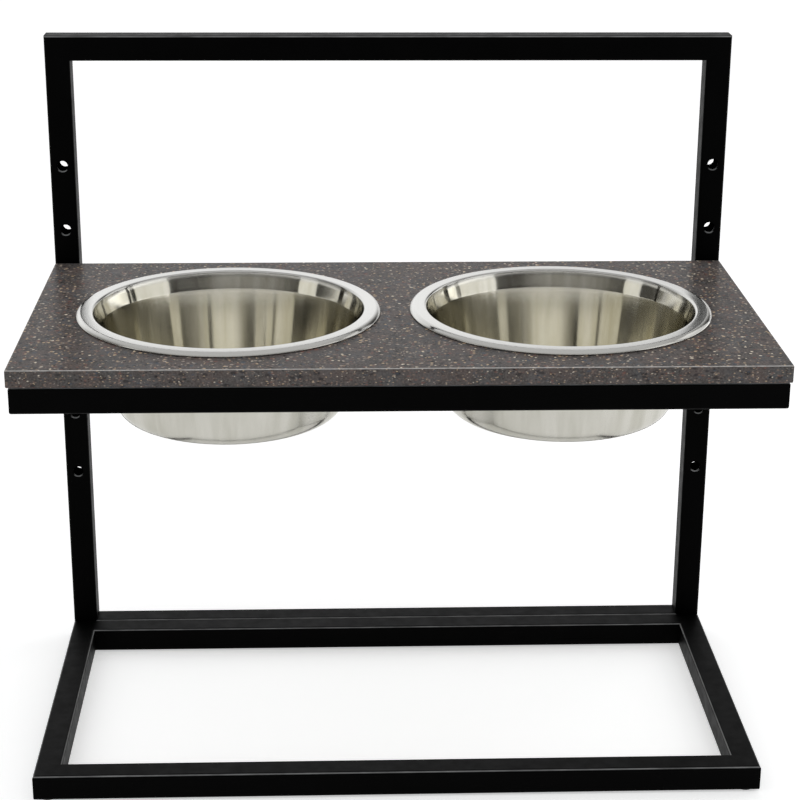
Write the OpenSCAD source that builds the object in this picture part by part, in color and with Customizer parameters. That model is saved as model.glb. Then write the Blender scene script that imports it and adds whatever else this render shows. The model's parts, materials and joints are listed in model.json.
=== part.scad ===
// Raised feeder stand: a base frame and a back frame of square tube, and a shelf that
// rides up and down the two uprights. The shelf carries a slab with two drop-in bowls.
// X runs to the right, Y to the back and Z up. The floor is at Z = 0.

/* [Tube] */
// Outer size of the square tube
tube = 20; // [18:0.5:25]
// Wall of the tube
tube_wall = 1.5; // [1:0.1:2]
// Outer radius of the tube's long edges
tube_r = 2; // [1.6:0.1:3]

/* [Stand] */
// Width of the base frame and of the back frame
stand_w = 550; // [540:1:640]
// Depth of the base frame, front to back
base_d = 270; // [200:1:320]
// Height of the back frame
back_h = 530; // [480:1:640]
// Diameter of a foot pad
foot_d = 14; // [8:0.5:18]
// Height of a foot pad
foot_h = 1.5; // [1:0.1:4]

/* [Height holes] */
// Diameter of the holes in the uprights
hole_d = 8.4; // [8.2:0.1:11]
// Width of the chamfer round each hole
hole_edge = 0.8; // [0.2:0.1:0.9]
// Holes in one upright
hole_count = 6; // [5:1:7]
// Distance from hole to hole
hole_pitch = 53; // [45:1:58]
// Height of the lowest hole above the underside of the frame
hole_z = 160; // [120:1:190]
// Hole that carries the shelf, counted from the lowest
shelf_hole = 4; // [2:1:5]
// Height of the middle of the shelf frame above that hole
shelf_rise = 2; // [0:0.5:4]

/* [Shelf] */
// Depth of the slab, front to back
slab_d = 280; // [270:1:330]
// Thickness of the slab
slab_t = 13; // [12:0.5:20]
// Radius of the slab's upright corners
slab_r = 1; // [0.5:0.1:4]
// How far the slab stands out past the shelf frame
slab_over = 1.5; // [0.5:0.1:4]

/* [Bowls] */
// Distance between the centres of the two bowls
bowl_spacing = 252; // [234:1:280]
// Outer diameter of the rim
rim_d = 230; // [224:1:232]
// Thickness of the rolled edge of the rim
rim_bead = 3.2; // [2.4:0.1:5]
// Radius of the lip between the rim and the neck
lip_r = 1; // [0.6:0.1:4]
// Outer diameter at the top of the tapered neck
neck_d = 206; // [200:1:210]
// Height of the neck below the slab's top face
neck_h = 10; // [6:0.5:12]
// How much narrower the neck is at its foot, on radius
neck_taper = 4; // [1:0.1:6]
// Outer diameter where the wall meets the round of the base
base_ring_d = 176; // [160:1:184]
// Depth of the bowl, from the top of the rim to the underside
bowl_h = 83; // [60:1:95]
// Radius of the round between wall and base, on the outside
bowl_base_r = 14; // [8:0.5:20]
// Sheet thickness of a bowl
bowl_wall = 1; // [0.6:0.1:1.5]
// Clearance between a bowl's neck and its cut-out
cutout_gap = 1; // [0.5:0.1:2]
// Height of the rim above the slab when the bowl is in place
seat_gap = 0.3; // [0.2:0.05:0.5]

/* [Sleeves] */
// Wall of a sleeve
sleeve_wall = 2; // [1.5:0.1:3]
// Height of a sleeve
sleeve_h = 30; // [24:1:50]
// Clearance between a sleeve and the upright in it
slide_gap = 0.5; // [0.3:0.05:0.8]

/* [Lock screws] */
// Thread diameter of a lock screw
screw_d = 8; // [6:0.5:8]
// Clearance on radius in the nut
thread_gap = 0.08; // [0.05:0.01:0.15]
// Diameter of a lock screw's head
screw_head_d = 14; // [11:0.5:16]
// Height of a lock screw's head
screw_head_h = 4.4; // [3:0.1:6]
// Hexagon key size of a lock screw
screw_key = 5; // [3:0.5:5]
// Depth of the tip inside the upright when the screw is home
screw_reach = 5; // [3:0.5:10]
// Gap between the tip and the upright when the screw is backed off
screw_park = 0.5; // [0.3:0.1:1]
// Gap between the head and the nut when the screw is home
head_gap = 0.3; // [0.2:0.1:1]
// Size across the flats of a sleeve nut
nut_af = 13; // [12:0.5:15]
// Height of a sleeve nut
nut_h = 6.5; // [4:0.5:8]

/* [Frame bolts] */
// Bolts between the back frame and the base frame
bolt_count = 4; // [2:1:5]
// Distance from bolt to bolt
bolt_pitch = 130; // [90:1:140]
// Thread diameter of a bolt
bolt_d = 8; // [6:0.5:8]
// Length of a bolt under its head
bolt_l = 34; // [32:0.5:36]
// Diameter of a bolt's head
bolt_head_d = 14; // [12:0.5:16]
// Height of a bolt's head
bolt_head_h = 4.4; // [3:0.1:6]
// Hexagon key size of a bolt
bolt_key = 5; // [3:0.5:5]
// Outer diameter of a washer
washer_d = 17; // [15:0.5:18]
// Thickness of a washer
washer_t = 1.6; // [1:0.1:2]
// Diameter of a rivet nut's sleeve
rivet_d = 11; // [10:0.5:12]
// Diameter of a rivet nut's upset collar
rivet_collar_d = 14; // [13:0.5:15]
// Thickness of a rivet nut's upset collar
rivet_collar_t = 3; // [2:0.5:5]
// Length of a rivet nut
rivet_l = 14; // [10:0.5:15]
// Clearance on radius of a bolt in a plain hole
bolt_gap = 0.4; // [0.2:0.1:0.8]

/* [Slab screws] */
// Slab screws along the front, and as many along the rear
slab_screw_count = 3; // [2:1:5]
// Distance from slab screw to slab screw
slab_screw_pitch = 200; // [80:1:230]
// Thread diameter of a slab screw
slab_screw_d = 5; // [4:0.5:6]
// Diameter of a slab screw's head
slab_screw_head_d = 9; // [8:0.5:12]
// Height of a slab screw's head
slab_screw_head_h = 2.8; // [2:0.1:4]
// Clearance on radius of a slab screw's head in its access hole
access_gap = 1; // [0.5:0.1:2]
// Outer diameter of a slab insert
insert_d = 8; // [7:0.5:10]
// Length of a slab insert
insert_l = 9; // [6:0.5:10]
// How far the tip of a slab screw stays below the end of its insert
insert_spare = 1; // [0.5:0.1:3]

/* [Hidden] */
$fn = 64;
eps = 0.5; // overlap of cutting shapes
least_r = 0.1; // smallest inner radius of the tube's edges

// Shares of a button head screw
tip_share = 0.1; // chamfer of the tip, of the thread diameter
edge_share = 0.2; // upright edge of the head, of the head's height
socket_share = 0.6; // depth of the key socket, of the head's height
dome_end = 60; // angle at which the dome meets the flat on top
dome_steps = 6;

black = [0.07, 0.07, 0.075];
steel = [0.78, 0.78, 0.76];
zinc = [0.62, 0.63, 0.65];
stone = [0.36, 0.33, 0.32];
rubber = [0.12, 0.12, 0.12];
brass = [0.75, 0.6, 0.3];

// Places measured from the front face of the uprights, which is at depth 0
slab_back = -slide_gap;
slab_front = slab_back - slab_d;
sleeve_front = -slide_gap - sleeve_wall;
sleeve_back = tube + slide_gap + sleeve_wall;
screw_travel = screw_park + screw_reach;
screw_tip = tube + screw_park;
screw_head = sleeve_back + nut_h + head_gap + screw_travel;
part_front = min(slab_front, -base_d);
part_back = screw_head + screw_head_h;

// The origin is under the middle of the part, so the uprights stand behind it
upright_y = -(part_front + part_back) / 2;

// Heights above the floor
frame_z = foot_h;
lock_z = frame_z + hole_z + (shelf_hole - 1) * hole_pitch;
slab_z = lock_z + shelf_rise + tube / 2;
slab_top = slab_z + slab_t;

// Shelf frame, inside the slab's outline and in front of the sleeves
shelf_w = stand_w - 2 * slab_over;
shelf_front = slab_front + slab_over;
shelf_d = sleeve_front - shelf_front;

// Centre lines
post_x = stand_w / 2 - tube / 2;
sleeve_size = tube + 2 * slide_gap + 2 * sleeve_wall;
bowl_x = bowl_spacing / 2;
bowl_y = (slab_front + slab_back) / 2;
cutout_d = neck_d + 2 * cutout_gap;
slab_screw_front_y = shelf_front + tube / 2;
slab_screw_rear_y = sleeve_front - tube / 2;

// Outline helpers

// Square with rounded corners, from the origin into +X +Y
module round_square(size, r) {
    translate([r, 0]) square([size[0] - 2 * r, size[1]]);
    translate([0, r]) square([size[0], size[1] - 2 * r]);
    for (x = [r, size[0] - r], y = [r, size[1] - r])
        translate([x, y]) circle(r);
}

// Cross-section of the tube
module tube_section() {
    inner_r = max(tube_r - tube_wall, least_r);
    difference() {
        round_square([tube, tube], tube_r);
        translate([tube_wall, tube_wall])
            round_square([tube - 2 * tube_wall, tube - 2 * tube_wall], inner_r);
    }
}

// One side of a tube frame: along X, its outer face at Y = 0, both ends mitred
module rail(length) {
    intersection() {
        rotate([90, 0, 90])
            translate([0, 0, -length / 2])
                linear_extrude(length) tube_section();
        translate([0, 0, -eps])
            linear_extrude(tube + 2 * eps)
                polygon([
                    [-length / 2, 0], [length / 2, 0],
                    [length / 2 - tube, tube], [-length / 2 + tube, tube]
                ]);
    }
}

// Places a rail as one side of a flat frame of the given width and depth.
// The frame's front is at Y = 0; side is "front", "rear", "left" or "right".
module frame_side(side, width, depth) {
    if (side == "front")
        rail(width);
    if (side == "rear")
        translate([0, depth, 0]) rotate([0, 0, 180]) rail(width);
    if (side == "left")
        translate([-width / 2, depth / 2, 0]) rotate([0, 0, -90]) rail(depth);
    if (side == "right")
        translate([width / 2, depth / 2, 0]) rotate([0, 0, 90]) rail(depth);
}

module base_side(side) {
    translate([0, upright_y - base_d, frame_z])
        frame_side(side, stand_w, base_d);
}

// The back frame is a flat frame turned upright, its front side down
module back_side(side) {
    translate([0, upright_y + tube, frame_z])
        rotate([90, 0, 0])
            frame_side(side, stand_w, back_h);
}

module shelf_side(side) {
    translate([0, upright_y + shelf_front, slab_z - tube])
        frame_side(side, shelf_w, shelf_d);
}

// Hole along Y, from depth y0 to depth y1 behind the uprights' front face
module hole_y(x, z, d, y0, y1) {
    translate([x, upright_y + y1, z])
        rotate([90, 0, 0])
            cylinder(h = y1 - y0, d = d);
}

// Button head screw along -Y: the underside of its head is at the origin
module button_screw(d, length, head_d, head_h, key) {
    tip = tip_share * d;
    edge = edge_share * head_h;
    dome = [
        for (i = [0 : dome_steps])
            let (a = dome_end * i / dome_steps)
            [head_d / 2 * cos(a), -edge - (head_h - edge) * sin(a) / sin(dome_end)]
    ];
    difference() {
        rotate([90, 0, 0])
            rotate_extrude()
                polygon(concat(
                    [[0, length], [d / 2 - tip, length], [d / 2, length - tip], [d / 2, 0], [head_d / 2, 0]],
                    dome,
                    [[0, -head_h]]
                ));
        translate([0, head_h + eps, 0])
            rotate([90, 0, 0])
                cylinder(h = socket_share * head_h + eps, d = key / cos(30), $fn = 6);
    }
}

// X places of a centred row
function row(count, pitch) = [for (i = [0 : count - 1]) (i - (count - 1) / 2) * pitch];

// Stand

module base_front_tube() {
    color(black) base_side("front");
}

module base_rear_tube() {
    color(black)
        difference() {
            base_side("rear");
            for (x = row(bolt_count, bolt_pitch))
                hole_y(x, frame_z + tube / 2, rivet_d, -tube_wall - eps, eps);
        }
}

module base_left_tube() {
    color(black) base_side("left");
}

module base_right_tube() {
    color(black) base_side("right");
}

module back_top_tube() {
    color(black) back_side("rear");
}

module back_bottom_tube() {
    color(black)
        difference() {
            back_side("front");
            for (x = row(bolt_count, bolt_pitch))
                hole_y(x, frame_z + tube / 2, bolt_d + 2 * bolt_gap, -eps, tube + eps);
        }
}

// Hole through an upright, chamfered on its front and its back
module height_hole(x, z) {
    hole_y(x, z, hole_d, -eps, tube + eps);
    for (face = [[0, -90], [tube, 90]])
        translate([x, upright_y + face[0], z])
            rotate([face[1], 0, 0])
                translate([0, 0, -eps])
                    cylinder(h = hole_edge + eps, d1 = hole_d + 2 * (hole_edge + eps), d2 = hole_d);
}

module upright(side, x) {
    difference() {
        back_side(side);
        for (i = [0 : hole_count - 1])
            height_hole(x, frame_z + hole_z + i * hole_pitch);
    }
}

module left_upright() {
    color(black) upright("left", -post_x);
}

module right_upright() {
    color(black) upright("right", post_x);
}

module feet() {
    color(rubber)
        for (x = [-post_x, post_x], y = [-base_d + tube / 2, tube / 2])
            translate([x, upright_y + y, 0])
                cylinder(h = foot_h, d = foot_d);
}

module frame_bolts() {
    color(zinc)
        for (x = row(bolt_count, bolt_pitch))
            translate([x, upright_y + tube + washer_t, frame_z + tube / 2])
                button_screw(bolt_d, bolt_l, bolt_head_d, bolt_head_h, bolt_key);
}

module frame_washers() {
    color(zinc)
        for (x = row(bolt_count, bolt_pitch))
            translate([x, upright_y + tube + washer_t, frame_z + tube / 2])
                rotate([90, 0, 0])
                    difference() {
                        cylinder(h = washer_t, d = washer_d);
                        translate([0, 0, -eps])
                            cylinder(h = washer_t + 2 * eps, d = bolt_d + 2 * bolt_gap);
                    }
}

module frame_rivet_nuts() {
    color(zinc)
        for (x = row(bolt_count, bolt_pitch))
            translate([x, upright_y, frame_z + tube / 2])
                rotate([90, 0, 0])
                    difference() {
                        union() {
                            cylinder(h = rivet_l, d = rivet_d);
                            translate([0, 0, tube_wall])
                                cylinder(h = rivet_collar_t, d = rivet_collar_d);
                        }
                        translate([0, 0, -eps])
                            cylinder(h = rivet_l + 2 * eps, d = bolt_d + 2 * thread_gap);
                    }
}

// Shelf

module slab_screw_places() {
    for (x = row(slab_screw_count, slab_screw_pitch), y = [slab_screw_front_y, slab_screw_rear_y])
        translate([x, upright_y + y, 0]) children();
}

// A clearance hole in the tube's upper wall, and an access hole for the head in its lower wall
module slab_screw_holes() {
    slab_screw_places() {
        translate([0, 0, slab_z - tube / 2])
            cylinder(h = tube / 2 + eps, d = slab_screw_d + 2 * bolt_gap);
        translate([0, 0, slab_z - tube - eps])
            cylinder(h = tube / 2 + eps, d = slab_screw_head_d + 2 * access_gap);
    }
}

module shelf_front_tube() {
    color(black)
        difference() {
            shelf_side("front");
            slab_screw_holes();
        }
}

module shelf_rear_tube() {
    color(black)
        difference() {
            shelf_side("rear");
            slab_screw_holes();
        }
}

module shelf_left_tube() {
    color(black) shelf_side("left");
}

module shelf_right_tube() {
    color(black) shelf_side("right");
}

module slab() {
    color(stone)
        difference() {
            translate([-stand_w / 2, upright_y + slab_front, slab_z])
                linear_extrude(slab_t)
                    round_square([stand_w, slab_d], slab_r);
            for (x = [-bowl_x, bowl_x])
                translate([x, upright_y + bowl_y, slab_z - eps])
                    cylinder(h = slab_t + 2 * eps, d = cutout_d, $fn = 128);
            slab_screw_places()
                translate([0, 0, slab_z - eps])
                    cylinder(h = insert_l + eps, d = insert_d);
        }
}

// The head bears on the inside of the tube's upper wall
module slab_screws() {
    length = tube_wall + insert_l - insert_spare;
    color(zinc)
        slab_screw_places()
            translate([0, 0, slab_z - tube_wall]) {
                cylinder(h = length, d = slab_screw_d);
                translate([0, 0, -slab_screw_head_h])
                    cylinder(h = slab_screw_head_h, d = slab_screw_head_d);
            }
}

module slab_inserts() {
    color(brass)
        slab_screw_places()
            translate([0, 0, slab_z])
                difference() {
                    cylinder(h = insert_l, d = insert_d);
                    translate([0, 0, -eps])
                        cylinder(h = insert_l + 2 * eps, d = slab_screw_d + 2 * thread_gap);
                }
}

module sleeve(x) {
    inner = tube + 2 * slide_gap;
    difference() {
        translate([x, upright_y + tube / 2, slab_z - sleeve_h])
            linear_extrude(sleeve_h)
                difference() {
                    translate([-sleeve_size / 2, -sleeve_size / 2])
                        round_square([sleeve_size, sleeve_size], sleeve_wall);
                    translate([-inner / 2, -inner / 2])
                        square([inner, inner]);
                }
        hole_y(x, lock_z, screw_d + 2 * bolt_gap, tube + slide_gap - eps / 2, sleeve_back + eps);
    }
}

module left_sleeve() {
    color(black) sleeve(-post_x);
}

module right_sleeve() {
    color(black) sleeve(post_x);
}

module sleeve_nuts() {
    color(zinc)
        for (x = [-post_x, post_x])
            difference() {
                translate([x, upright_y + sleeve_back + nut_h, lock_z])
                    rotate([90, 0, 0])
                        cylinder(h = nut_h, d = nut_af / cos(30), $fn = 6);
                hole_y(x, lock_z, screw_d + 2 * thread_gap, sleeve_back - eps, sleeve_back + nut_h + eps);
            }
}

module lock_screw(x) {
    translate([x, upright_y + screw_head, lock_z])
        button_screw(screw_d, screw_head - screw_tip, screw_head_d, screw_head_h, screw_key);
}

module left_lock_screw() {
    color(zinc) lock_screw(-post_x);
}

module right_lock_screw() {
    color(zinc) lock_screw(post_x);
}

// Bowls

// Points of an arc around c, from angle a0 to angle a1
function arc(c, r, a0, a1, steps) =
    [for (i = [0 : steps]) c + r * [cos(a0 + (a1 - a0) * i / steps), sin(a0 + (a1 - a0) * i / steps)]];

// Unit normal on the right of a path at point i
function path_normal(p, i) =
    let (
        a = p[max(i - 1, 0)],
        b = p[min(i + 1, len(p) - 1)],
        t = (b - a) / norm(b - a)
    )
    [t[1], -t[0]];

// Closed outline of a sheet of the given thickness, with the path as its outer side
function sheet(p, thick) =
    concat(p, [for (i = [len(p) - 1 : -1 : 0]) p[i] - thick * path_normal(p, i)]);

// Outer side of the bowl from the middle of its base to the rim, as [radius, height];
// height 0 is the slab's top face
function bowl_path() =
    let (
        rim_top = seat_gap + rim_bead,
        base_z = rim_top - bowl_h,
        flange_z = rim_top - bowl_wall,
        neck_r = neck_d / 2,
        body_r = neck_r - neck_taper,
        ring_r = base_ring_d / 2,
        wall_angle = atan2(body_r - ring_r, -neck_h - base_z - bowl_base_r),
        round_c = [ring_r - bowl_base_r * cos(wall_angle), base_z + bowl_base_r]
    )
    concat(
        [[0, base_z]],
        arc(round_c, bowl_base_r, -90, -wall_angle, 8),
        [[body_r, -neck_h]],
        arc([neck_r + lip_r, flange_z - lip_r], lip_r, 180, 90, 6),
        [[rim_d / 2 - rim_bead / 2, flange_z]]
    );

module bowl(x) {
    translate([x, upright_y + bowl_y, slab_top])
        rotate_extrude($fn = 128) {
            polygon(sheet(bowl_path(), bowl_wall));
            translate([rim_d / 2 - rim_bead / 2, seat_gap + rim_bead / 2])
                circle(d = rim_bead);
        }
}

module left_bowl() {
    color(steel) bowl(-bowl_x);
}

module right_bowl() {
    color(steel) bowl(bowl_x);
}

base_front_tube();
base_rear_tube();
base_left_tube();
base_right_tube();
back_top_tube();
back_bottom_tube();
left_upright();
right_upright();
feet();
frame_bolts();
frame_washers();
frame_rivet_nuts();
shelf_front_tube();
shelf_rear_tube();
shelf_left_tube();
shelf_right_tube();
slab();
slab_screws();
slab_inserts();
left_sleeve();
right_sleeve();
sleeve_nuts();
left_lock_screw();
right_lock_screw();
left_bowl();
right_bowl();
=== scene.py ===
"""Looks of the raised feeder stand: finishes, spun bowls, threaded screws, nuts, floor, light and camera.

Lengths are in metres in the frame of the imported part: X to the right, Y to the back, Z up.
"""
import json
import math

import bmesh
import bpy
from mathutils import Matrix, Vector


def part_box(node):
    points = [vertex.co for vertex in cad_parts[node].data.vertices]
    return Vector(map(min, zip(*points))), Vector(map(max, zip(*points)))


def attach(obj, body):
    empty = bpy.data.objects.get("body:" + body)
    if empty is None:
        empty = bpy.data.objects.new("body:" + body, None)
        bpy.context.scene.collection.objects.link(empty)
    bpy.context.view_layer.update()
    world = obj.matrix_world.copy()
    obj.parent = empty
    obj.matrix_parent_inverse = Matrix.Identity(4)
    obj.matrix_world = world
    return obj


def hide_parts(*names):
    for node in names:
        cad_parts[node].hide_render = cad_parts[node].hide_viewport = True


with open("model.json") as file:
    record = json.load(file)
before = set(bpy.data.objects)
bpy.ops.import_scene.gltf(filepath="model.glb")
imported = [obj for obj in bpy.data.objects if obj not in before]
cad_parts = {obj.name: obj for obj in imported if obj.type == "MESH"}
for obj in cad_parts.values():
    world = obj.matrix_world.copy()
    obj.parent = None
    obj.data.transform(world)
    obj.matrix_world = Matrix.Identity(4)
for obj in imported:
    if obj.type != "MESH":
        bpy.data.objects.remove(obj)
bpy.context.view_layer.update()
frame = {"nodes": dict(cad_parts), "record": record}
nodes = frame["nodes"]

MM = 0.001
SIDES = ("left", "right")
SLAB_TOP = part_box("slab")[1].z


# Node helpers

# Colour sockets of a Mix node, whose sockets of other kinds have the same names
MIX_A = 6
MIX_B = 7
MIX_RESULT = 2
# Range that most values of a noise lie in
NOISE_SPAN = (0.3, 0.7)
NOISE_ROUGHNESS = 0.55
# Rise times reach of a normal at 45 degrees, where it is highest
FULL_SLANT = 0.5


class Nodes:
    """A node tree that short calls add to."""

    def __init__(self, tree):
        self.tree = tree

    def link(self, source, target):
        self.tree.links.new(source, target)

    def node(self, kind, links=None, values=None, **settings):
        """New node, with its settings, the values of its sockets and the links into it."""
        made = self.tree.nodes.new(kind)
        for name, value in settings.items():
            setattr(made, name, value)
        for socket, value in (values or {}).items():
            made.inputs[socket].default_value = value
        for socket, source in (links or {}).items():
            self.link(source, made.inputs[socket])
        return made

    def feed(self, socket, value):
        """Sets a socket to a number or a colour, or links it."""
        if isinstance(value, (int, float)):
            socket.default_value = value
        elif isinstance(value, tuple):
            socket.default_value = value + (1.0,)
        else:
            self.link(value, socket)

    def math(self, operation, a, b=0.0):
        """Arithmetic on links and numbers."""
        made = self.node("ShaderNodeMath", operation=operation)
        self.feed(made.inputs[0], a)
        self.feed(made.inputs[1], b)
        return made.outputs[0]

    def vector(self, operation, a, b):
        """Vector arithmetic on a link and a second link or a constant vector."""
        made = self.node("ShaderNodeVectorMath", {0: a}, operation=operation)
        if isinstance(b, tuple):
            made.inputs[1].default_value = b
        else:
            self.link(b, made.inputs[1])
        return made.outputs["Value" if operation == "DOT_PRODUCT" else "Vector"]

    def split(self, vector):
        """X, Y and Z of a vector."""
        return self.node("ShaderNodeSeparateXYZ", {"Vector": vector}).outputs

    def combine(self, **axes):
        """Vector from links to its X, Y and Z; one left out is 0."""
        return self.node("ShaderNodeCombineXYZ", axes).outputs[0]

    def remap(self, value, span, to_low=0.0, to_high=1.0, smooth=False):
        """Stretches a span of values to run from to_low to to_high; values outside it stop there."""
        low, high = span
        made = self.node("ShaderNodeMapRange", {"Value": value},
                         {"From Min": low, "From Max": high, "To Min": to_low, "To Max": to_high})
        made.interpolation_type = "SMOOTHSTEP" if smooth else "LINEAR"
        return made.outputs["Result"]

    def mix(self, factor, a, b):
        """Colour a where the factor is 0, colour b where it is 1."""
        made = self.node("ShaderNodeMix", data_type="RGBA")
        self.feed(made.inputs["Factor"], factor)
        self.feed(made.inputs[MIX_A], a)
        self.feed(made.inputs[MIX_B], b)
        return made.outputs[MIX_RESULT]


class Shader(Nodes):
    """A material with one Principled shader, patterned in the object's own coordinates."""

    def __init__(self, name, **sockets):
        self.material = bpy.data.materials.new(name)
        self.material.use_nodes = True
        super().__init__(self.material.node_tree)
        self.bsdf = self.tree.nodes["Principled BSDF"]
        for socket, value in sockets.items():
            self.bsdf.inputs[socket.replace("_", " ")].default_value = value
        place = self.node("ShaderNodeTexCoord").outputs
        self.coords = place["Object"]
        self.normal = place["Normal"]

    def slant(self, start):
        """0 on level and upright faces, 1 on edges that face up at 45 degrees; a high start narrows it."""
        up = self.math("MAXIMUM", self.split(self.normal)[2], 0.0)
        out = self.math("SQRT", self.math("SUBTRACT", 1.0, self.math("MULTIPLY", up, up)))
        return self.remap(self.math("MULTIPLY", up, out), (start, FULL_SLANT))

    def noise(self, size, detail=3.0, vector=None):
        """Noise whose features are about size metres across."""
        made = self.node("ShaderNodeTexNoise", {"Vector": vector or self.coords},
                         {"Scale": 1.0 / size, "Detail": detail, "Roughness": NOISE_ROUGHNESS})
        return made.outputs["Fac"]

    def vary(self, size, low, high, span=NOISE_SPAN, detail=3.0, vector=None):
        """Noise whose span of values is stretched to run from low to high."""
        return self.remap(self.noise(size, detail, vector), span, low, high)

    def cells(self, size, vector):
        """Voronoi cells about size metres across: distance to the middle, and a random colour."""
        made = self.node("ShaderNodeTexVoronoi", {"Vector": vector}, {"Scale": 1.0 / size})
        return made.outputs["Distance"], made.outputs["Color"]

    def color(self, source):
        self.link(source, self.bsdf.inputs["Base Color"])

    def roughness(self, source):
        self.link(source, self.bsdf.inputs["Roughness"])

    def bump(self, height, strength, distance):
        made = self.node("ShaderNodeBump", {"Height": height}, {"Strength": strength, "Distance": distance})
        self.link(made.outputs["Normal"], self.bsdf.inputs["Normal"])


def srgb(text):
    """Linear colour of a six-digit hex code."""
    channels = [int(text[i:i + 2], 16) / 255 for i in (0, 2, 4)]
    return tuple(c / 12.92 if c <= 0.04045 else ((c + 0.055) / 1.055) ** 2.4 for c in channels)


# Materials

# Flakes of the slab: how flat they lie, how far and how finely a cell's outline is warped, and the least
# radius and the soft edge as shares of the largest radius
FLAKE_FLATNESS = 1.8
FLAKE_WARP = 0.5
FLAKE_WARP_RATE = 1.6
FLAKE_LEAST = 0.4
FLAKE_EDGE = 0.4
# Streaks down the bowls' walls, in the roughness and bump and as painted reflection bands in the colour:
# width as a share of the radius, and height
STREAK_WIDTH = 0.15
STREAK_HEIGHT = 75.0 * MM
# The rim's finish fades in over this height on both sides of the slab's top
RIM_FADE = 2.0 * MM


def powder_coat():
    """Satin black powder coat with a faint orange peel, with a painted highlight that greys its
    upward-facing edges.
    """
    s = Shader("powder_coat", Specular_IOR_Level=0.06, Specular_Tint=(0.3, 0.3, 0.3, 1.0))
    coat = s.mix(s.noise(60 * MM, detail=2), srgb("010101"), srgb("040404"))
    # Painted highlight: the edges that face up are greyed where light from above would catch them
    painted_coat_highlight = s.math("MULTIPLY", s.slant(0.38), s.vary(25 * MM, 0.4, 1.0))
    s.color(s.mix(painted_coat_highlight, coat, srgb("8e8e8e")))
    s.roughness(s.vary(9 * MM, 0.42, 0.54))
    s.bump(s.noise(1.1 * MM, detail=2), strength=0.10, distance=0.15 * MM)
    return s.material


def solid_surface():
    """Speckled brown-grey slab: mottled ground, dark, bluish and rusty flakes lying flat, cream chips, and
    a painted highlight along its upper edges.
    """
    s = Shader("solid_surface", Specular_IOR_Level=0.022)
    laid = s.vector("MULTIPLY", s.coords, (1.0, 1.0, FLAKE_FLATNESS))

    def grains(below, size, tint, reach, share, strength, seed):
        """Irregular grains in a share of the cells, up to reach of a cell in radius, over what is below."""
        warp = s.node("ShaderNodeTexNoise", {"Vector": laid},
                      {"Scale": FLAKE_WARP_RATE / size, "Detail": 2.0})
        shift = s.vector("MULTIPLY", warp.outputs["Color"], (FLAKE_WARP * size,) * 3)
        moved = s.vector("ADD", s.vector("ADD", laid, shift), (seed, 2 * seed, 3 * seed))
        distance, colour = s.cells(size, moved)
        pick = s.node("ShaderNodeSeparateColor", {"Color": colour}).outputs
        radius = s.remap(pick[1], (0.0, 1.0), FLAKE_LEAST * reach, reach)
        inside = s.remap(s.math("SUBTRACT", radius, distance), (0.0, FLAKE_EDGE * reach))
        chosen = s.math("LESS_THAN", pick[0], share)
        cover = s.math("MULTIPLY", s.math("MULTIPLY", inside, chosen), strength)
        return s.mix(cover, below, tint)

    charcoal = srgb("3b3839")
    slate = srgb("4c5661")
    rust = srgb("8a5d52")
    soot = srgb("2a2828")
    clay = srgb("937d6f")
    ash = srgb("b0a296")
    sand = srgb("d0b594")
    cream = srgb("f0e3ce")
    tone = s.mix(s.vary(1.6 * MM, 0.0, 1.0, span=(0.35, 0.65), detail=4), srgb("454240"), srgb("666260"))
    tone = s.mix(s.vary(16 * MM, 0.0, 0.35, span=(0.4, 0.65)), tone, srgb("77655f"))
    tone = s.mix(s.vary(23 * MM, 0.0, 0.5, span=(0.5, 0.7)), tone, srgb("67686a"))
    tone = grains(tone, 6.0 * MM, charcoal, reach=0.50, share=0.60, strength=0.75, seed=0.31)
    tone = grains(tone, 6.0 * MM, slate, reach=0.46, share=0.50, strength=0.70, seed=0.77)
    tone = grains(tone, 5.0 * MM, rust, reach=0.44, share=0.42, strength=0.60, seed=1.13)
    tone = grains(tone, 4.0 * MM, soot, reach=0.46, share=0.50, strength=0.80, seed=1.71)
    tone = grains(tone, 3.4 * MM, clay, reach=0.44, share=0.55, strength=0.75, seed=1.93)
    tone = grains(tone, 4.0 * MM, ash, reach=0.40, share=0.55, strength=0.85, seed=2.19)
    tone = grains(tone, 4.4 * MM, sand, reach=0.34, share=0.60, strength=0.95, seed=2.83)
    tone = grains(tone, 5.0 * MM, cream, reach=0.28, share=0.62, strength=1.00, seed=3.41)
    # Painted highlight: a pale line along the eased edges that face up
    painted_slab_highlight = s.math("MULTIPLY", s.slant(0.15), s.vary(5 * MM, 0.5, 1.0))
    s.color(s.mix(painted_slab_highlight, tone, srgb("dedad6")))
    s.roughness(s.vary(3 * MM, 0.24, 0.34))
    s.bump(s.noise(1.5 * MM), strength=0.04, distance=0.1 * MM)
    return s.material


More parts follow.
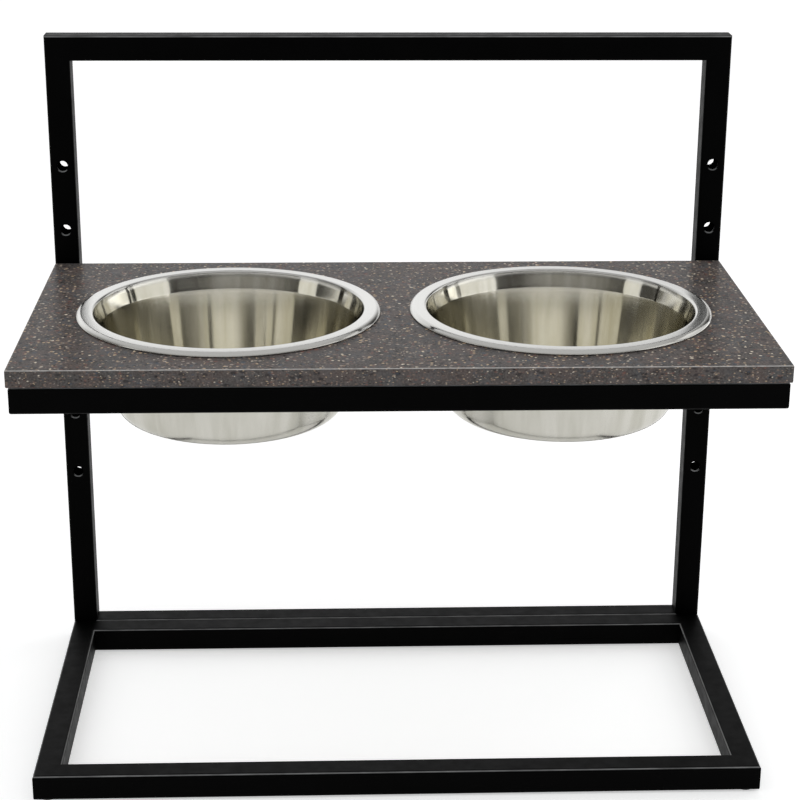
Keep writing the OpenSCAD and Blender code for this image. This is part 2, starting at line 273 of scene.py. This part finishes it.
def polished_steel():
    """Spun stainless steel, whose fine rings draw what it mirrors out into upright bands.

    It has soft streaks down the wall, which its colour also shows as painted reflection bands, a bright rim
    and a satin outside, round the object's own Z axis.
    """
    s = Shader("polished_steel", Metallic=1.0, Anisotropic=0.95, Anisotropic_Rotation=0.25)
    tangent = s.node("ShaderNodeTangent", direction_type="RADIAL", axis="Z").outputs[0]
    s.link(tangent, s.bsdf.inputs["Tangent"])
    x, y, z = s.split(s.coords)
    radius = s.math("SQRT", s.math("ADD", s.math("MULTIPLY", x, x), s.math("MULTIPLY", y, y)))
    away = s.math("MAXIMUM", radius, MM)
    out_x = s.math("DIVIDE", x, away)
    out_y = s.math("DIVIDE", y, away)
    outside = s.remap(s.vector("DOT_PRODUCT", s.normal, s.combine(X=out_x, Y=out_y)), (-0.1, 0.1))
    rim = s.remap(z, (SLAB_TOP - RIM_FADE, SLAB_TOP + RIM_FADE))

    around = s.combine(X=out_x, Y=out_y, Z=s.math("MULTIPLY", z, STREAK_WIDTH / STREAK_HEIGHT))
    level = s.math("ABSOLUTE", s.split(s.normal)[2])
    swing = s.remap(level, (0.4, 0.9), 0.5, 0.05)
    streaks_and_painted_bands = s.vary(STREAK_WIDTH, -1.0, 1.0, span=(0.35, 0.65), vector=around)
    streaks_and_painted_bands = s.math("ADD", s.math("MULTIPLY", streaks_and_painted_bands, swing), 0.5)

    # The streaks also lighten and darken the colour, as painted reflection bands
    inner = s.mix(streaks_and_painted_bands, srgb("cecab9"), srgb("e2dfd3"))
    outer = s.mix(streaks_and_painted_bands, srgb("b0aea4"), srgb("c0beb6"))
    s.color(s.mix(rim, s.mix(outside, inner, outer), srgb("c6c5c1")))
    rings = s.vary(0.7 * MM, 0.0, 0.03, detail=2, vector=s.combine(X=radius, Y=z))
    rough = s.math("ADD", s.remap(streaks_and_painted_bands, (0.0, 1.0), 0.08, 0.12), rings)
    satin = s.math("MAXIMUM", outside, rim)
    s.roughness(s.math("ADD", rough, s.math("MULTIPLY", satin, 0.05)))
    s.bump(streaks_and_painted_bands, strength=0.3, distance=0.03 * MM)
    return s.material


def zinc():
    """Zinc-plated fastener steel."""
    s = Shader("zinc_plate", Metallic=1.0)
    s.color(s.mix(s.noise(2 * MM), srgb("8f9296"), srgb("b6b8ba")))
    s.roughness(s.vary(1.2 * MM, 0.28, 0.45))
    s.bump(s.noise(0.5 * MM), strength=0.06, distance=0.05 * MM)
    return s.material


def brass():
    """Turned brass of the slab's inserts."""
    s = Shader("turned_brass", Metallic=1.0)
    s.color(s.mix(s.noise(2 * MM), srgb("b08d45"), srgb("cfae68")))
    s.roughness(s.vary(1 * MM, 0.25, 0.4))
    return s.material


def rubber():
    """Dull black rubber of the foot pads."""
    s = Shader("pad_rubber", Specular_IOR_Level=0.25)
    s.color(s.mix(s.noise(3 * MM), srgb("131313"), srgb("212121")))
    s.roughness(s.vary(1 * MM, 0.7, 0.9))
    s.bump(s.noise(0.6 * MM), strength=0.2, distance=0.1 * MM)
    return s.material


FINISH = {"frame": powder_coat(), "slab": solid_surface(), "bowls": polished_steel(), "fasteners": zinc(),
          "inserts": brass(), "pads": rubber()}
slot_of = {part["node"]: part["material_slot"] for part in frame["record"]["subparts"]}
for name, obj in nodes.items():
    obj.data.materials.clear()
    obj.data.materials.append(FINISH[slot_of[name]])


# Mesh helpers

SHARP = math.radians(35)
WELD_REACH = 0.01 * MM


def circle(count, radius, place):
    """Ring of points: radius is a number or a function of the angle, place turns (u, v) into a point."""
    ring = []
    for k in range(count):
        a = 2 * math.pi * k / count
        r = radius(a) if callable(radius) else radius
        ring.append(place(r * math.cos(a), r * math.sin(a)))
    return ring


def along_y(axis, start):
    """Placing function for rings round an axis along Y: u to the right, v up, t behind the start."""
    return lambda u, v, t: (axis.x + u, start + t, axis.z + v)


def skin(bm, rings, loop=False):
    """Skins rings of points of equal count; both ends are capped, or the last joins the first."""
    made = [[bm.verts.new(p) for p in ring] for ring in rings]
    pairs = list(zip(made, made[1:])) + ([(made[-1], made[0])] if loop else [])
    for a, b in pairs:
        for k in range(len(a)):
            bm.faces.new((a[k - 1], a[k], b[k], b[k - 1]))
    if not loop:
        bm.faces.new(made[0])
        bm.faces.new(made[-1])


def piece(name, bm, body, slot, replaced, place=(0.0, 0.0, 0.0)):
    """Object from a bmesh, with its origin at place, that rides on a body and stands for a CAD node."""
    bmesh.ops.remove_doubles(bm, verts=bm.verts, dist=WELD_REACH)
    bmesh.ops.recalc_face_normals(bm, faces=bm.faces)
    mesh = bpy.data.meshes.new(name)
    bm.to_mesh(mesh)
    bm.free()
    mesh.polygons.foreach_set("use_smooth", [True] * len(mesh.polygons))
    mesh.set_sharp_from_angle(angle=SHARP)
    mesh.materials.append(FINISH[slot])
    obj = bpy.data.objects.new(name, mesh)
    obj.location = place
    bpy.context.collection.objects.link(obj)
    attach(obj, body)
    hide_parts(replaced)


# Slab edges

SLAB_EDGE = 0.9 * MM
EDGE_SEGMENTS = 3
EDGE_ANGLE = math.radians(50)

joined = nodes["slab"].modifiers.new("joined_faces", "WELD")
joined.merge_threshold = WELD_REACH
edge = nodes["slab"].modifiers.new("eased_edges", "BEVEL")
edge.width = SLAB_EDGE
edge.segments = EDGE_SEGMENTS
edge.limit_method = "ANGLE"
edge.angle_limit = EDGE_ANGLE
edge.harden_normals = True
edge.use_clamp_overlap = False
edge.loop_slide = False


# Bowls

BOWL_SIDES = 192
BOWL_SHEET = 1.0 * MM
RIM_DROP = 3.2 * MM
ROLL_R = 5.0 * MM
LIP_R = 1.0 * MM
NECK_R = 103.0 * MM
NECK_H = 10.0 * MM
NECK_TAPER = 4.0 * MM
CREASE = 0.4 * MM
RING_R = 88.0 * MM
BASE_R = 14.0 * MM
CENTRE_R = 1.0 * MM
PROFILE_STEP = 3.0 * MM
BASE_STEPS = 16
OUTER_LIP_STEPS = 8
INNER_LIP_STEPS = 10
UNDER_ROLL_STEPS = 10
RIM_EDGE_STEPS = 10
ROLL_STEPS = 12


def arc(centre, radius, start, end, steps):
    """Points of an arc in the profile plane, angles in degrees."""
    points = []
    for i in range(steps + 1):
        a = math.radians(start + (end - start) * i / steps)
        points.append(Vector((centre[0] + radius * math.cos(a), centre[1] + radius * math.sin(a))))
    return points


def dense(path, step):
    """The path with no stretch longer than step."""
    points = [path[0]]
    for a, b in zip(path, path[1:]):
        parts = max(1, math.ceil((b - a).length / step))
        points += [a.lerp(b, i / parts) for i in range(1, parts + 1)]
    return points


def eased(before, corner, after):
    """A corner with a small round, as three points."""
    start = corner + (before - corner).normalized() * CREASE
    end = corner + (after - corner).normalized() * CREASE
    return [start, (start + end + 2 * corner) / 4, end]


def bowl_profile(rim_r, rim_top, base_z):
    """Outline of the bowl's sheet as (radius, height), from under its base round the rim to its floor."""
    half = BOWL_SHEET / 2
    crease = Vector((NECK_R - NECK_TAPER, SLAB_TOP - NECK_H))
    inner_crease = crease - Vector((BOWL_SHEET, 0))
    slope = math.degrees(math.atan2(crease.x - RING_R, crease.y - base_z - BASE_R))
    round_c = Vector((RING_R - BASE_R * math.cos(math.radians(slope)), base_z + BASE_R))
    lip_c = Vector((NECK_R + LIP_R, rim_top - BOWL_SHEET - LIP_R))
    roll_end = math.asin((ROLL_R - RIM_DROP + half) / (ROLL_R - half))
    roll_out = Vector((math.cos(roll_end), math.sin(roll_end))) * (ROLL_R - half)
    roll_c = Vector((rim_r - half - roll_out.x, rim_top - ROLL_R))
    roll_end = math.degrees(roll_end)

    outer_round = arc(round_c, BASE_R, -90, -slope, BASE_STEPS)
    outer_lip = arc(lip_c, LIP_R, 180, 90, OUTER_LIP_STEPS)
    rim = arc(roll_c, ROLL_R - BOWL_SHEET, 90, roll_end, UNDER_ROLL_STEPS)
    rim += arc(roll_c + roll_out, half, roll_end - 180, roll_end, RIM_EDGE_STEPS)[1:-1]
    rim += arc(roll_c, ROLL_R, roll_end, 90, ROLL_STEPS)
    inner_lip = arc(lip_c, LIP_R + BOWL_SHEET, 90, 180, INNER_LIP_STEPS)
    inner_round = arc(round_c, BASE_R - BOWL_SHEET, -slope, -90, BASE_STEPS)

    path = [Vector((CENTRE_R, base_z))] + outer_round
    path += eased(outer_round[-1], crease, outer_lip[0]) + outer_lip + rim + inner_lip
    path += eased(inner_lip[-1], inner_crease, inner_round[0]) + inner_round
    path.append(Vector((CENTRE_R, base_z + BOWL_SHEET)))
    return dense(path, PROFILE_STEP)


for side in SIDES:
    body = side + "_bowl"
    low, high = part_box(body)
    middle = (low + high) / 2
    profile = bowl_profile((high.y - low.y) / 2, high.z, low.z)
    bm = bmesh.new()
    skin(bm, [circle(BOWL_SIDES, p.x, lambda u, v, z=p.y: (u, v, z)) for p in profile])
    piece(side + "_spun_bowl", bm, body, "bowls", replaced=body, place=(middle.x, middle.y, 0.0))


# Lock screws

SCREW_SIDES = 48
SCREW_R = 3.95 * MM
THREAD_PITCH = 1.25 * MM
THREAD_DEPTH = 0.7 * MM
THREAD_RINGS = 8
TIP_CHAMFER = 0.9 * MM
HEAD_H = 4.4 * MM
HEAD_R = 7.0 * MM
HEAD_EDGE = 0.88 * MM
HEAD_CHAMFER_R = 0.3 * MM
HEAD_CHAMFER_H = 0.2 * MM
DOME_END = math.radians(60)
DOME_STEPS = 8
KEY = 5.0 * MM
SOCKET_DEPTH = 2.6 * MM


def hexagon(flats):
    """Radius of a hexagon of this size across its flats, as a function of the angle."""
    return lambda a: flats / 2 / math.cos((a + math.pi / 6) % (math.pi / 3) - math.pi / 6)


def thread(t):
    """Radius of the thread at a distance t from the tip, as a function of the angle."""
    def radius(a):
        phase = (t / THREAD_PITCH - a / (2 * math.pi)) % 1.0
        groove = THREAD_DEPTH * abs(2 * phase - 1)
        return SCREW_R - max(groove, TIP_CHAMFER - t)
    return radius


def screw_rings(length, place):
    """Rings from the tip to the floor of the key socket; place takes (u, v, distance from the tip)."""
    shank = length - HEAD_H
    rings = []

    def add(radius, t):
        rings.append(circle(SCREW_SIDES, radius, lambda u, v: place(u, v, t)))

    steps = math.ceil(shank / THREAD_PITCH * THREAD_RINGS)
    for i in range(steps + 1):
        t = shank * i / steps
        add(thread(t), t)
    add(HEAD_R - HEAD_CHAMFER_R, shank)
    add(HEAD_R, shank + HEAD_CHAMFER_H)
    for i in range(DOME_STEPS + 1):
        a = DOME_END * i / DOME_STEPS
        rise = (HEAD_H - HEAD_EDGE) * math.sin(a) / math.sin(DOME_END)
        add(HEAD_R * math.cos(a), shank + HEAD_EDGE + rise)
    add(hexagon(KEY), length)
    add(hexagon(KEY), length - SOCKET_DEPTH)
    return rings


for side in SIDES:
    body = side + "_lock_screw"
    low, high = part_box(body)
    bm = bmesh.new()
    skin(bm, screw_rings(high.y - low.y, along_y((low + high) / 2, low.y)))
    piece(side + "_threaded_screw", bm, body, "fasteners", replaced=body)


# Nuts of the lock screws

NUT_FLATS = 13.0 * MM
NUT_BORE_R = 4.08 * MM
# Radius of the round faces as a share of the corners' radius, and the chamfer's fall from it to the corners
NUT_ROUND = 0.94
NUT_FALL = math.tan(math.radians(30))


def nut_rings(height, place):
    """Loop of rings of a hexagon nut with chamfered corners; place takes (u, v, height)."""
    flats = hexagon(NUT_FLATS)
    round_r = NUT_ROUND * NUT_FLATS / 2 / math.cos(math.pi / 6)

    def level(radius, t):
        return circle(SCREW_SIDES, radius, lambda u, v: place(u, v, t))

    def faced(a):
        return min(flats(a), round_r)

    def fall(u, v):
        """How far the chamfer's cone has come down where it meets the flats."""
        return max(0.0, math.hypot(u, v) - round_r) * NUT_FALL

    lower = circle(SCREW_SIDES, flats, lambda u, v: place(u, v, fall(u, v)))
    upper = circle(SCREW_SIDES, flats, lambda u, v: place(u, v, height - fall(u, v)))
    bore = [level(NUT_BORE_R, height), level(NUT_BORE_R, 0.0)]
    return [level(faced, 0.0), lower, upper, level(faced, height)] + bore


low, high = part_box("sleeve_nuts")
bm = bmesh.new()
for side in SIDES:
    screw_low, screw_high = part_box(side + "_lock_screw")
    place = along_y((screw_low + screw_high) / 2, low.y)
    skin(bm, nut_rings(high.y - low.y, place), loop=True)
piece("chamfered_nuts", bm, "shelf", "fasteners", replaced="sleeve_nuts")


# Floor and backdrop

WHITE = (1.0, 1.0, 1.0, 1.0)
BLACK = (0.0, 0.0, 0.0, 1.0)
FLOOR_SIZE = 60.0
FLOOR_GLOW = 0.46
PAPER_CLOUD = 0.5
PAPER_DULL = (0.93, 0.93, 0.93)
PAPER_BRIGHT = (0.96, 0.96, 0.96)
BACKDROP_R = 29.0
BACKDROP_H = 4.5
BACKDROP_SIDES = 96


def white_paper():
    """White floor; what the camera and mirrors see of it is lifted, so that only close shadows show."""
    s = Shader("white_paper", Roughness=0.9, Specular_IOR_Level=0.0, Emission_Color=WHITE)
    s.color(s.mix(s.noise(PAPER_CLOUD), PAPER_DULL, PAPER_BRIGHT))
    ray = s.node("ShaderNodeLightPath").outputs
    seen = s.math("MAXIMUM", ray["Is Camera Ray"], ray["Is Glossy Ray"])
    seen = s.math("MAXIMUM", seen, ray["Is Transmission Ray"])
    s.link(s.math("MULTIPLY", seen, FLOOR_GLOW), s.bsdf.inputs["Emission Strength"])
    return s.material


def white_wall():
    """White of the far backdrop, which shows above the floor's horizon and in what is glossy."""
    return Shader("white_wall", Base_Color=BLACK, Specular_IOR_Level=0.0, Emission_Color=WHITE,
                  Emission_Strength=1.0).material


bpy.ops.mesh.primitive_plane_add(size=FLOOR_SIZE)
floor = bpy.context.object
floor.name = "floor"
floor.data.materials.append(white_paper())

bpy.ops.mesh.primitive_cylinder_add(vertices=BACKDROP_SIDES, radius=BACKDROP_R, depth=BACKDROP_H,
                                    end_fill_type="NOTHING", location=(0, 0, BACKDROP_H / 2))
backdrop = bpy.context.object
backdrop.name = "backdrop"
backdrop.data.materials.append(white_wall())
backdrop.visible_diffuse = False
backdrop.visible_shadow = False


# Sky: a bright panel behind the object, black at both sides of it, dim in front and even overhead

FRONT_LEVEL = 0.18
BACK_LEVEL = 1.3
ZENITH_LEVEL = 0.75
DIM_TINT = (1.0, 0.985, 0.955)
BRIGHT_TINT = (0.985, 0.99, 1.0)
# Where each change starts and ends: along the unit direction's Y, aside from the panel's middle in X,
# along Z, and in brightness
DEPTH_SPAN = (-0.3, 0.9)
PANEL_X = -0.25
PANEL_SPAN = (0.28, 0.8)
ZENITH_SPAN = (0.25, 0.85)
TINT_SPAN = (0.2, 0.8)

world = bpy.data.worlds.new("studio")
bpy.context.scene.world = world
world.use_nodes = True
sky = Nodes(world.node_tree)
background = world.node_tree.nodes["Background"].inputs
x, y, z = sky.split(sky.node("ShaderNodeTexCoord").outputs["Generated"])
depth = sky.remap(y, DEPTH_SPAN, FRONT_LEVEL, BACK_LEVEL, smooth=True)
aside = sky.math("ABSOLUTE", sky.math("SUBTRACT", x, PANEL_X))
horizon = sky.math("MULTIPLY", depth, sky.remap(aside, PANEL_SPAN, 1.0, 0.0, smooth=True))
overhead = sky.remap(z, ZENITH_SPAN, smooth=True)
rise = sky.math("MULTIPLY", overhead, sky.math("SUBTRACT", ZENITH_LEVEL, horizon))
level = sky.math("ADD", horizon, rise)
sky.link(sky.mix(sky.remap(level, TINT_SPAN), DIM_TINT, BRIGHT_TINT), background["Color"])
sky.link(level, background["Strength"])


# Lamps

WINDOW_DISTANCE = 2.2
WINDOW_STRENGTH = 0.9
NEUTRAL = (1.0, 1.0, 1.0)
FILL_TINT = (0.86, 0.95, 1.0)


def softbox(name, place, aim, width, height, strength, mirrored=True, tint=NEUTRAL):
    """Soft area lamp that the camera doesn't see; strength is its brightness at any size.

    Mirrors see it only where mirrored is true.
    """
    lamp = bpy.data.lights.new(name, "AREA")
    lamp.shape = "RECTANGLE"
    lamp.size = width
    lamp.size_y = height
    lamp.energy = strength * math.pi * width * height
    lamp.color = tint
    obj = bpy.data.objects.new(name, lamp)
    bpy.context.collection.objects.link(obj)
    obj.location = place
    obj.rotation_euler = (Vector(aim) - Vector(place)).to_track_quat("-Z", "Y").to_euler()
    obj.visible_camera = False
    obj.visible_glossy = mirrored


def window(name, azimuth, half, low, high):
    """Upright softbox that faces the object's axis; azimuth counts from the back towards the right.

    The azimuth and half its width are in degrees, and its lower and upper edge are heights.
    """
    a = math.radians(azimuth)
    middle = (low + high) / 2
    place = (WINDOW_DISTANCE * math.sin(a), WINDOW_DISTANCE * math.cos(a), middle)
    width = 2 * WINDOW_DISTANCE * math.tan(math.radians(half))
    softbox(name, place, (0, 0, middle), width, high - low, WINDOW_STRENGTH)


window("window_rear", azimuth=62, half=18, low=0.2, high=1.9)
window("window_front", azimuth=104, half=19, low=0.2, high=1.9)
window("window_left", azimuth=-105, half=9, low=0.6, high=1.5)
softbox("front_fill", place=(0, -3.0, 0.8), aim=(0, 0, 0.3), width=3.0, height=1.4, strength=1.3,
        mirrored=False, tint=FILL_TINT)


# Camera, fitted to the photograph

IMAGE_PX = 800
FOCAL_PX = 1984.5
SENSOR_MM = 36.0
SIGHT = 100.0
# Eye as seen from the foot of the uprights' front faces, midway between them
EYE = Vector((-52.3, -1588.1, 777.9)) * MM
PITCH = math.radians(-19.263)
YAW = math.radians(2.232)
ROLL = math.radians(0.328)

camera_data = bpy.data.cameras.new("camera")
camera_data.sensor_width = SENSOR_MM
camera_data.lens = FOCAL_PX / IMAGE_PX * SENSOR_MM
camera_data.clip_end = SIGHT
camera = bpy.data.objects.new("camera", camera_data)
bpy.context.collection.objects.link(camera)
upright_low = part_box("left_upright")[0]
stand = Matrix.Translation(Vector((0, upright_low.y, upright_low.z)) + EYE)
heading = Matrix.Rotation(-YAW, 4, "Z")
tilt = Matrix.Rotation(math.pi / 2 + PITCH, 4, "X")
bank = Matrix.Rotation(ROLL, 4, "Z")
camera.matrix_world = stand @ (heading @ tilt @ bank)
bpy.context.scene.camera = camera
bpy.context.scene.view_settings.view_transform = "Standard"
